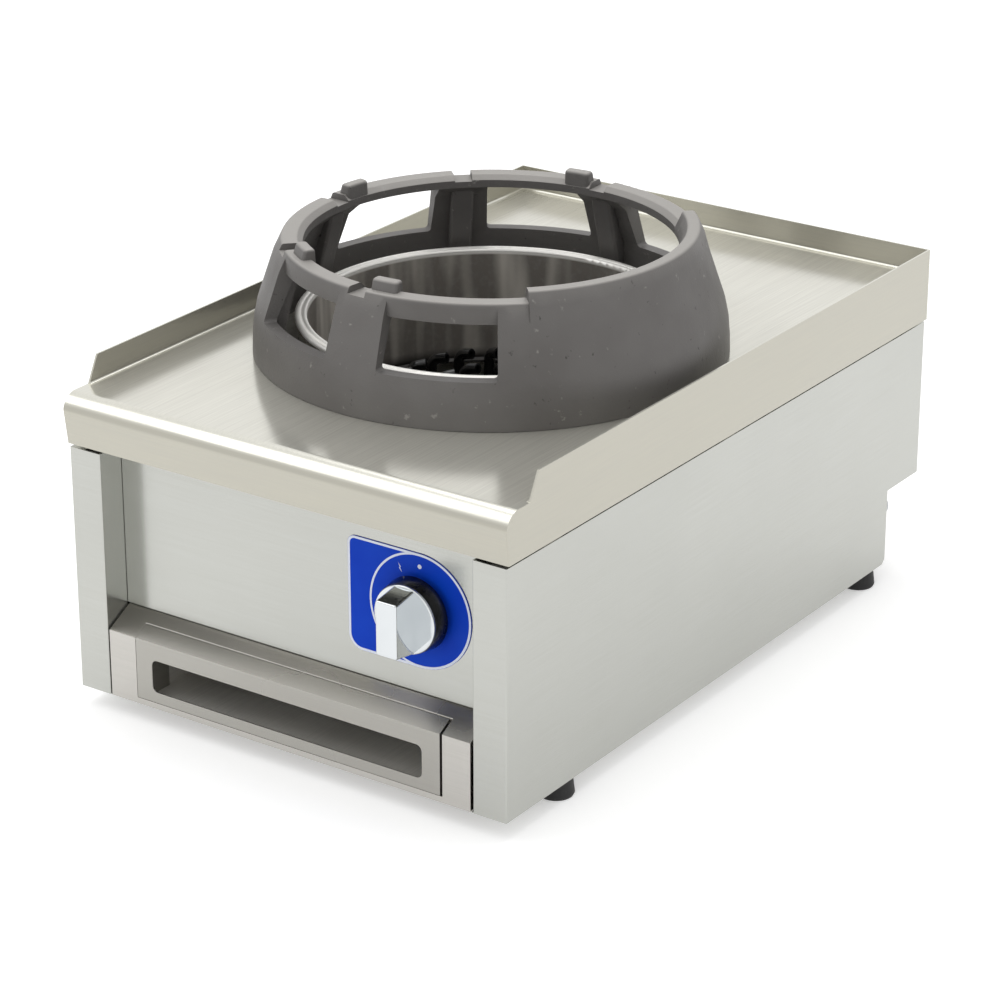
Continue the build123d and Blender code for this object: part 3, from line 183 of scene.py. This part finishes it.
def satinSteel(name, look):
    material, tree = newMaterial(name)
    place = addNode(tree, "ShaderNodeTexCoord").outputs["Object"]
    normal = addNode(
        tree, "ShaderNodeSeparateXYZ", {0: addNode(tree, "ShaderNodeNewGeometry").outputs["Normal"]}
    )
    sideways = addNode(tree, "ShaderNodeMath", {0: normal.outputs["Y"]}, operation="ABSOLUTE")
    onFront = addNode(
        tree, "ShaderNodeMath", {0: sideways.outputs[0], 1: look["frontFacing"]},
        operation="GREATER_THAN",
    )
    long, fine = perMetre(look["lineLength"]), perMetre(look["lineSpacing"])
    alongDepth = addNode(tree, "ShaderNodeMapping", {"Vector": place, "Scale": (fine, long, fine)})
    alongWidth = addNode(tree, "ShaderNodeMapping", {"Vector": place, "Scale": (long, fine, fine)})
    lines = addNode(
        tree, "ShaderNodeMix",
        {0: onFront.outputs[0], 4: alongDepth.outputs[0], 5: alongWidth.outputs[0]},
        data_type="VECTOR",
    )
    grain = addNode(
        tree, "ShaderNodeTexNoise", {"Vector": lines.outputs[1], "Scale": 1.0, "Detail": 2.0}
    )
    cloud = addNode(
        tree, "ShaderNodeTexNoise",
        {"Vector": place, "Scale": perMetre(look["cloudSize"]), "Detail": 3.0},
    )
    lightSheet = addNode(
        tree, "ShaderNodeMix",
        {0: cloud.outputs["Fac"], 6: toLinear(look["colour"]), 7: toLinear(look["deepColour"])},
        data_type="RGBA",
    )
    lineShade = addNode(
        tree, "ShaderNodeMapRange",
        {**noiseSpan, "Value": grain.outputs["Fac"], "To Max": look["lineShade"]},
    )
    # painted light and shade: upright faces take a colour that stands for how light falls on them,
    # faces that look up or down keep the sheet's
    flatness = addNode(tree, "ShaderNodeMath", {0: normal.outputs["Z"]}, operation="ABSOLUTE")
    uprightShadingMask = addNode(
        tree, "ShaderNodeMapRange",
        {"Value": flatness.outputs[0], "From Min": look["uprightShadingFrom"],
         "From Max": look["uprightShadingFull"], "To Max": look["uprightShadingShare"]},
    )
    uprightShaded = addNode(
        tree, "ShaderNodeMix",
        {0: uprightShadingMask.outputs[0], 6: lightSheet.outputs[2], 7: toLinear(look["uprightShadingColour"])},
        data_type="RGBA",
    )
    baseColour = addNode(
        tree, "ShaderNodeMix",
        {0: lineShade.outputs[0], 6: uprightShaded.outputs[2], 7: toLinear(look["lineColour"])},
        data_type="RGBA",
    )
    rough = addNode(
        tree, "ShaderNodeMapRange",
        {**noiseSpan, "Value": cloud.outputs["Fac"],
         "To Min": look["roughness"] - look["smoother"],
         "To Max": look["roughness"] + look["rougher"]},
    )
    relief = addNode(
        tree, "ShaderNodeBump",
        {"Height": grain.outputs["Fac"], "Strength": look["lineDepth"],
         "Distance": look["reliefHeight"]},
    )
    closeMaterial(tree, addNode(
        tree, "ShaderNodeBsdfPrincipled",
        {"Base Color": baseColour.outputs[2], "Metallic": look["metallic"],
         "Roughness": rough.outputs[0], "Normal": relief.outputs[0]},
    ))
    return material


# cold-rolled stainless sheet with a fine straight grind: it mirrors its surroundings softly,
# and its lines scatter a part of the light, so it is never quite black under a dark thing.
# the real lines are 0.2 mm apart and are drawn coarser, so that they show
sheetLook = {
    "colour": "#bebfba", "deepColour": "#b7b8b3", "lineColour": "#b0afa8", "lineShade": 0.3,
    # the colour of the painted light and shade on upright faces, and its share, which is none on
    # this sheet
    "uprightShadingColour": "#c9c9c5", "uprightShadingShare": 0.0,
    "uprightShadingFrom": 0.6, "uprightShadingFull": 0.4,   # how far a face looks up or down: 1 is level, 0 upright
    "frontFacing": 0.75,                # past this a face looks to the front or the rear
    "roughness": 0.2, "smoother": 0.03, "rougher": 0.04, "metallic": 0.85,
    "lineSpacing": 0.9, "lineLength": 70.0, "lineDepth": 0.05, "reliefHeight": 0.0002,
    "cloudSize": 120.0,
}
# the drawn worktop is paler and a little warmer, and its upright faces carry painted shade, darker
# than its deck
topLook = dict(
    sheetLook, colour="#e3e2d8", deepColour="#dcdacf", uprightShadingColour="#b9b6a9", uprightShadingShare=0.9,
    roughness=0.17, metallic=0.66,
)
# plain mill-finish sheet inside the body: duller than the outside
millLook = dict(
    sheetLook, colour="#a5a29b", deepColour="#918e87", roughness=0.4, metallic=0.8, lineDepth=0.1
)
# the drawer and the frame round it are painted greyer, as painted shade for the shadowed floor they
# mirror, and have a duller grind
frontLook = dict(
    sheetLook, colour="#acaaa4", deepColour="#a3a09a", roughness=0.26, lineDepth=0.02,
)
# the frame round the drawer has painted light on its upright faces and painted shade on its sloped
# ledge
frameLook = dict(
    frontLook, colour="#a6a39d", deepColour="#9d9a94", uprightShadingColour="#c5c2bd", uprightShadingShare=0.9,
)
# the tray's floor is painted pale, as painted light, so that it still shows in the dark behind the
# slot
trayLook = dict(
    sheetLook, colour="#e2dfd8", deepColour="#d6d3cb", roughness=0.45, metallic=0.4,
)


def plainMetal(name, look):
    material, tree = newMaterial(name)
    place = addNode(tree, "ShaderNodeTexCoord").outputs["Object"]
    speck = addNode(
        tree, "ShaderNodeTexNoise",
        {"Vector": place, "Scale": perMetre(look["grainSize"]), "Detail": 4.0},
    )
    cloud = addNode(
        tree, "ShaderNodeTexNoise",
        {"Vector": place, "Scale": perMetre(look["cloudSize"]), "Detail": 2.0},
    )
    baseColour = addNode(
        tree, "ShaderNodeMix",
        {0: cloud.outputs["Fac"], 6: toLinear(look["colour"]), 7: toLinear(look["deepColour"])},
        data_type="RGBA",
    )
    rough = addNode(
        tree, "ShaderNodeMapRange",
        {**noiseSpan, "Value": cloud.outputs["Fac"],
         "To Min": look["roughness"] - look["roughnessSpread"],
         "To Max": look["roughness"] + look["roughnessSpread"]},
    )
    relief = addNode(
        tree, "ShaderNodeBump",
        {"Height": speck.outputs["Fac"], "Strength": look["grainDepth"],
         "Distance": look["reliefHeight"]},
    )
    closeMaterial(tree, addNode(
        tree, "ShaderNodeBsdfPrincipled",
        {"Base Color": baseColour.outputs[2], "Metallic": look["metallic"],
         "Roughness": rough.outputs[0], "Normal": relief.outputs[0],
         "Specular IOR Level": look["gloss"]},
    ))
    return material


def metalLook(colour, deepColour, roughness, grainSize=1.2, grainDepth=0.1, metallic=1.0,
              roughnessSpread=0.05, cloudSize=30.0, gloss=0.5):
    return {
        "colour": colour, "deepColour": deepColour, "roughness": roughness,
        "grainSize": grainSize, "grainDepth": grainDepth, "metallic": metallic,
        "roughnessSpread": roughnessSpread, "cloudSize": cloudSize, "gloss": gloss,
        "reliefHeight": 0.0003,
    }


# spun stainless that has been hot: grey-brown, with pale streaks down its wall, a painted highlight
# along the rolled rim and a near-black foot. the painted rim highlight and the dark foot are given
# by height above the floor, in metres
spunLook = {
    "colour": "#cfcac1", "deepColour": "#8a857f", "streakColour": "#dad6ce", "rimHighlightColour": "#efede8",
    "darkFootColour": "#2b2927", "metallic": 0.4,
    "streakWidth": 22.0, "streakHeight": 220.0, "heatFrom": 0.46, "heatFull": 0.66,
    "grainSize": 4.0, "rubFrom": 0.5, "rubFull": 0.72, "rubShare": 0.1,
    "rimHighlightFrom": 0.2772, "rimHighlightFull": 0.2784, "darkFootFrom": 0.199, "darkFootFull": 0.191,
    "roughness": 0.38, "smoother": 0.04, "rougher": 0.1, "dullFrom": 0.35, "dullFull": 0.65,
    "smearDepth": 0.04, "reliefHeight": 0.0002,
}


def spunSteel(name, look):
    material, tree = newMaterial(name)
    place = addNode(tree, "ShaderNodeTexCoord").outputs["Object"]
    wide, tall = perMetre(look["streakWidth"]), perMetre(look["streakHeight"])
    downWall = addNode(tree, "ShaderNodeMapping", {"Vector": place, "Scale": (wide, wide, tall)})
    streak = addNode(
        tree, "ShaderNodeTexNoise", {"Vector": downWall.outputs[0], "Scale": 1.0, "Detail": 2.0}
    )
    smear = addNode(
        tree, "ShaderNodeTexNoise",
        {"Vector": place, "Scale": perMetre(look["grainSize"]), "Detail": 4.0},
    )
    heatMask = addNode(
        tree, "ShaderNodeMapRange",
        {"Value": streak.outputs["Fac"], "From Min": look["heatFrom"],
         "From Max": look["heatFull"]},
    )
    rubMask = addNode(
        tree, "ShaderNodeMapRange",
        {"Value": smear.outputs["Fac"], "From Min": look["rubFrom"],
         "From Max": look["rubFull"], "To Max": look["rubShare"]},
    )
    tarnish = addNode(
        tree, "ShaderNodeMix",
        {0: heatMask.outputs[0], 6: toLinear(look["deepColour"]), 7: toLinear(look["colour"])},
        data_type="RGBA",
    )
    rubbed = addNode(
        tree, "ShaderNodeMix",
        {0: rubMask.outputs[0], 6: tarnish.outputs[2], 7: toLinear(look["streakColour"])},
        data_type="RGBA",
    )
    height = addNode(tree, "ShaderNodeSeparateXYZ", {0: place}).outputs["Z"]
    # painted highlight: the rolled rim is painted near white above this height
    rimHighlightMask = addNode(
        tree, "ShaderNodeMapRange",
        {"Value": height, "From Min": look["rimHighlightFrom"], "From Max": look["rimHighlightFull"]},
    )
    # the lip at the foot of the wall, beside the flames, is near black, darker towards the bottom
    darkFootMask = addNode(
        tree, "ShaderNodeMapRange",
        {"Value": height, "From Min": look["darkFootFrom"], "From Max": look["darkFootFull"]},
    )
    footDarkened = addNode(
        tree, "ShaderNodeMix",
        {0: darkFootMask.outputs[0], 6: rubbed.outputs[2], 7: toLinear(look["darkFootColour"])},
        data_type="RGBA",
    )
    baseColour = addNode(
        tree, "ShaderNodeMix",
        {0: rimHighlightMask.outputs[0], 6: footDarkened.outputs[2], 7: toLinear(look["rimHighlightColour"])},
        data_type="RGBA",
    )
    rough = addNode(
        tree, "ShaderNodeMapRange",
        {"Value": streak.outputs["Fac"], "From Min": look["dullFrom"],
         "From Max": look["dullFull"], "To Min": look["roughness"] - look["smoother"],
         "To Max": look["roughness"] + look["rougher"]},
    )
    relief = addNode(
        tree, "ShaderNodeBump",
        {"Height": smear.outputs["Fac"], "Strength": look["smearDepth"],
         "Distance": look["reliefHeight"]},
    )
    closeMaterial(tree, addNode(
        tree, "ShaderNodeBsdfPrincipled",
        {"Base Color": baseColour.outputs[2], "Metallic": look["metallic"],
         "Roughness": rough.outputs[0], "Normal": relief.outputs[0]},
    ))
    return material


# grey iron, sand cast and ground over: dull and grainy, with pits and scuffs, and lighter on the
# faces that look up
# near the top: rubbed bright where the wok sits, and painted light from the lamp above. that part
# is given by height above the floor, in metres
castLook = {
    "colour": "#716f6d", "deepColour": "#5f5c5a", "wornAndLitColour": "#9c9995",
    "pitColour": "#3d3a38", "scuffColour": "#96938f",
    "roughness": 0.56, "roughnessSpread": 0.06, "metallic": 0.35, "cloudSize": 60.0,
    "grainSize": 1.8, "grainDepth": 0.5, "reliefHeight": 0.0004,
    "pitSize": 9.0, "pitRaggedness": 0.7, "pitFrom": 0.33, "pitFull": 0.26, "pitShare": 0.8,
    "scuffFrom": 0.66, "scuffFull": 0.74, "scuffShare": 0.6,
    "upFrom": 0.35, "upFull": 0.9,      # how far a face looks up: 1 is level
    "wornAndLitFrom": 0.331, "wornAndLitFull": 0.34,
}


def castIron(name, look):
    material, tree = newMaterial(name)
    place = addNode(tree, "ShaderNodeTexCoord").outputs["Object"]
    normal = addNode(
        tree, "ShaderNodeSeparateXYZ", {0: addNode(tree, "ShaderNodeNewGeometry").outputs["Normal"]}
    )
    height = addNode(tree, "ShaderNodeSeparateXYZ", {0: place}).outputs["Z"]
    cloud = addNode(
        tree, "ShaderNodeTexNoise",
        {"Vector": place, "Scale": perMetre(look["cloudSize"]), "Detail": 3.0},
    )
    grain = addNode(
        tree, "ShaderNodeTexNoise",
        {"Vector": place, "Scale": perMetre(look["grainSize"]), "Detail": 5.0},
    )
    pits = addNode(
        tree, "ShaderNodeTexNoise",
        {"Vector": place, "Scale": perMetre(look["pitSize"]), "Detail": 3.0,
         "Roughness": look["pitRaggedness"]},
    )
    skin = addNode(
        tree, "ShaderNodeMix",
        {0: cloud.outputs["Fac"], 6: toLinear(look["colour"]), 7: toLinear(look["deepColour"])},
        data_type="RGBA",
    )
    pitMask = addNode(
        tree, "ShaderNodeMapRange",
        {"Value": pits.outputs["Fac"], "From Min": look["pitFrom"],
         "From Max": look["pitFull"], "To Max": look["pitShare"]},
    )
    scuffMask = addNode(
        tree, "ShaderNodeMapRange",
        {"Value": pits.outputs["Fac"], "From Min": look["scuffFrom"],
         "From Max": look["scuffFull"], "To Max": look["scuffShare"]},
    )
    pitted = addNode(
        tree, "ShaderNodeMix",
        {0: pitMask.outputs[0], 6: skin.outputs[2], 7: toLinear(look["pitColour"])},
        data_type="RGBA",
    )
    scuffed = addNode(
        tree, "ShaderNodeMix",
        {0: scuffMask.outputs[0], 6: pitted.outputs[2], 7: toLinear(look["scuffColour"])},
        data_type="RGBA",
    )
    # the faces that look up, near the top, are lighter: the wok rubs them, and they carry painted
    # light from the lamp above
    upward = addNode(
        tree, "ShaderNodeMapRange",
        {"Value": normal.outputs["Z"], "From Min": look["upFrom"], "From Max": look["upFull"]},
    )
    nearTop = addNode(
        tree, "ShaderNodeMapRange",
        {"Value": height, "From Min": look["wornAndLitFrom"], "From Max": look["wornAndLitFull"]},
    )
    wornAndLitMask = addNode(
        tree, "ShaderNodeMath", {0: upward.outputs[0], 1: nearTop.outputs[0]}, operation="MULTIPLY"
    )
    baseColour = addNode(
        tree, "ShaderNodeMix",
        {0: wornAndLitMask.outputs[0], 6: scuffed.outputs[2], 7: toLinear(look["wornAndLitColour"])},
        data_type="RGBA",
    )
    rough = addNode(
        tree, "ShaderNodeMapRange",
        {**noiseSpan, "Value": cloud.outputs["Fac"],
         "To Min": look["roughness"] - look["roughnessSpread"],
         "To Max": look["roughness"] + look["roughnessSpread"]},
    )
    lumps = addNode(
        tree, "ShaderNodeMath", {0: grain.outputs["Fac"], 1: pits.outputs["Fac"]}, operation="ADD"
    )
    relief = addNode(
        tree, "ShaderNodeBump",
        {"Height": lumps.outputs[0], "Strength": look["grainDepth"],
         "Distance": look["reliefHeight"]},
    )
    closeMaterial(tree, addNode(
        tree, "ShaderNodeBsdfPrincipled",
        {"Base Color": baseColour.outputs[2], "Metallic": look["metallic"],
         "Roughness": rough.outputs[0], "Normal": relief.outputs[0]},
    ))
    return material


finishes = {
    "stainless": satinSteel("satin stainless sheet", sheetLook),
    "stainless_hidden": satinSteel("mill finish stainless sheet", millLook),
    "insert_steel": spunSteel("spun stainless", spunLook),
    "ring_iron": castIron("ground grey cast iron", castLook),
    # cast and blackened by heat: dull, with a rough skin
    "burner_iron": plainMetal(
        "black cast iron", metalLook("#2c2a28", "#1f1d1c", 0.6, 1.6, 0.8, metallic=0.3)
    ),
    # fired enamel: black, with small sharp highlights on the bends
    "jet_iron": plainMetal(
        "black enamelled iron", metalLook("#161616", "#0d0d0d", 0.18, 3.0, 0.1, metallic=0.0)
    ),
    # plated over polished metal: an almost clean mirror
    "knob_chrome": plainMetal(
        "bright chrome plating", metalLook("#d5d8da", "#cbcfd1", 0.09, 2.0, 0.02)
    ),
    # plated nearly black: a dark gloss that is uneven
    "knob_dark": plainMetal(
        "black nickel plating",
        metalLook("#4f4f52", "#29292b", 0.22, 2.0, 0.05, roughnessSpread=0.08, cloudSize=9.0),
    ),
    # even paint baked on sheet: strong blue, with hardly any gloss
    "dial_blue": plainMetal(
        "blue enamel paint",
        metalLook("#0c4ad0", "#0739bd", 0.5, 1.0, 0.05, metallic=0.0, gloss=0.12),
    ),
    # a thin printed layer: flat white with a cold tint
    "dial_print": plainMetal(
        "white screen print", metalLook("#f0f4ff", "#e6edfd", 0.5, 0.6, 0.1, metallic=0.0)
    ),
    # barrel plated: grey, bright and slightly cloudy
    "plated_steel": plainMetal("zinc plated steel", metalLook("#b7b9ba", "#9c9fa1", 0.3)),
    # fresh from the lathe: warm yellow, soft highlights
    "brass": plainMetal("turned brass", metalLook("#c9a45c", "#b18c48", 0.28)),
    # drawn through a die: plain grey with a soft sheen
    "pipe_steel": plainMetal("drawn steel pipe", metalLook("#a9a8a5", "#8d8b87", 0.32)),
    # drawn and annealed: pinkish brown with a soft sheen
    "copper": plainMetal("drawn copper tube", metalLook("#c98a64", "#a8694a", 0.26)),
    # moulded in a matt tool: black, and it hardly shines
    "foot_black": plainMetal(
        "black moulded rubber", metalLook("#1b1b1b", "#141414", 0.6, 0.8, 0.4, metallic=0.0)
    ),
    # moulded: black with a low, even sheen
    "piezo_plastic": plainMetal(
        "black moulded plastic", metalLook("#202022", "#18181a", 0.45, 0.8, 0.2, metallic=0.0)
    ),
    # glazed and fired: warm white with a wet gloss
    "ceramic_white": plainMetal(
        "glazed white ceramic", metalLook("#ece9e2", "#e2ded5", 0.12, 3.0, 0.05, metallic=0.0)
    ),
    # extruded rubber sleeve: dull red
    "lead_red": plainMetal(
        "red silicone sleeve", metalLook("#9c2a20", "#84221a", 0.5, 0.8, 0.3, metallic=0.0)
    ),
}
worktopFinish = satinSteel("ground stainless worktop with painted shade", topLook)
frontFinish = satinSteel("dull ground stainless sheet with painted shade", frontLook)
frameFinish = satinSteel("ground stainless frame with painted light and shade", frameLook)
trayFinish = satinSteel("stainless tray painted pale as light", trayLook)

for row in frame["record"]["subparts"]:
    mesh = nodes[row["node"]].data
    mesh.materials.clear()
    mesh.materials.append(finishes[row["material_slot"]])
nodes["drip_tray"].data.materials[0] = trayFinish
print("finishes assigned")

# edges are rounded a little on the pieces below, so that they catch the light
mergeGap = 0.000005  # metres; corners nearer than this become one


def looseCopy(nodeName, name):
    # a copy of a carried-over shape, its loose triangles joined
    piece = bpy.data.objects.new(name, nodes[nodeName].data.copy())
    bpy.context.scene.collection.objects.link(piece)
    bpy.ops.object.select_all(action="DESELECT")
    piece.select_set(True)
    bpy.context.view_layer.objects.active = piece
    bpy.ops.object.mode_set(mode="EDIT")
    bpy.ops.mesh.select_all(action="SELECT")
    bpy.ops.mesh.remove_doubles(threshold=mergeGap)
    bpy.ops.object.mode_set(mode="OBJECT")
    bpy.ops.mesh.customdata_custom_splitnormals_clear()
    return piece


def takePlace(piece, nodeName, body, finish):
    piece.data.materials.clear()
    piece.data.materials.append(finish)
    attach(piece, body)
    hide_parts(nodeName)


def roundEdges(piece, look):
    flatten = piece.modifiers.new("flat faces", "DECIMATE")
    flatten.decimate_type = "DISSOLVE"
    flatten.angle_limit = math.radians(look["flatAngle"])
    bpy.ops.object.modifier_apply(modifier=flatten.name)
    edge = piece.modifiers.new("edge", "BEVEL")
    edge.width = look["edgeRadius"]
    edge.segments = look["edgeSegments"]
    edge.limit_method = "ANGLE"
    edge.angle_limit = math.radians(look["edgeAngle"])
    edge.use_clamp_overlap = True
    bpy.ops.object.modifier_apply(modifier=edge.name)
    bpy.ops.object.shade_smooth_by_angle(angle=math.radians(look["smoothAngle"]))
    weigh = piece.modifiers.new("flat faces stay flat", "WEIGHTED_NORMAL")
    weigh.keep_sharp = True
    bpy.ops.object.modifier_apply(modifier=weigh.name)


ringCasting = {
    "node": "wok_ring", "body": "wok_ring", "slot": "ring_iron",
    "edgeRadius": 0.0013, "edgeSegments": 3, "flatAngle": 0.5, "edgeAngle": 35.0,
    "smoothAngle": 60.0,
}

wokRing = looseCopy(ringCasting["node"], "wokRingCasting")
roundEdges(wokRing, ringCasting)
takePlace(wokRing, ringCasting["node"], ringCasting["body"],
          finishes["ring_iron"])
print("wok ring made,", len(wokRing.data.polygons), "faces")

bentSheets = {
    "edgeRadius": 0.0004, "edgeSegments": 2, "flatAngle": 1.0, "edgeAngle": 28.0,
    "smoothAngle": 50.0,
    "pieces": (
        ("worktop", "range", "stainless", worktopFinish),
        ("side_panel_left", "range", "stainless", finishes["stainless"]),
        ("side_panel_right", "range", "stainless", finishes["stainless"]),
        ("control_panel", "range", "stainless", finishes["stainless"]),
        ("front_frame", "range", "stainless", frameFinish),
        ("drawer_front", "drawer", "stainless", frontFinish),
    ),
}

for nodeName, body, slotName, finish in bentSheets["pieces"]:
    sheet = looseCopy(nodeName, nodeName + "Bent")
    roundEdges(sheet, bentSheets)
    takePlace(sheet, nodeName, body, finish)
print("sheet bends rounded")
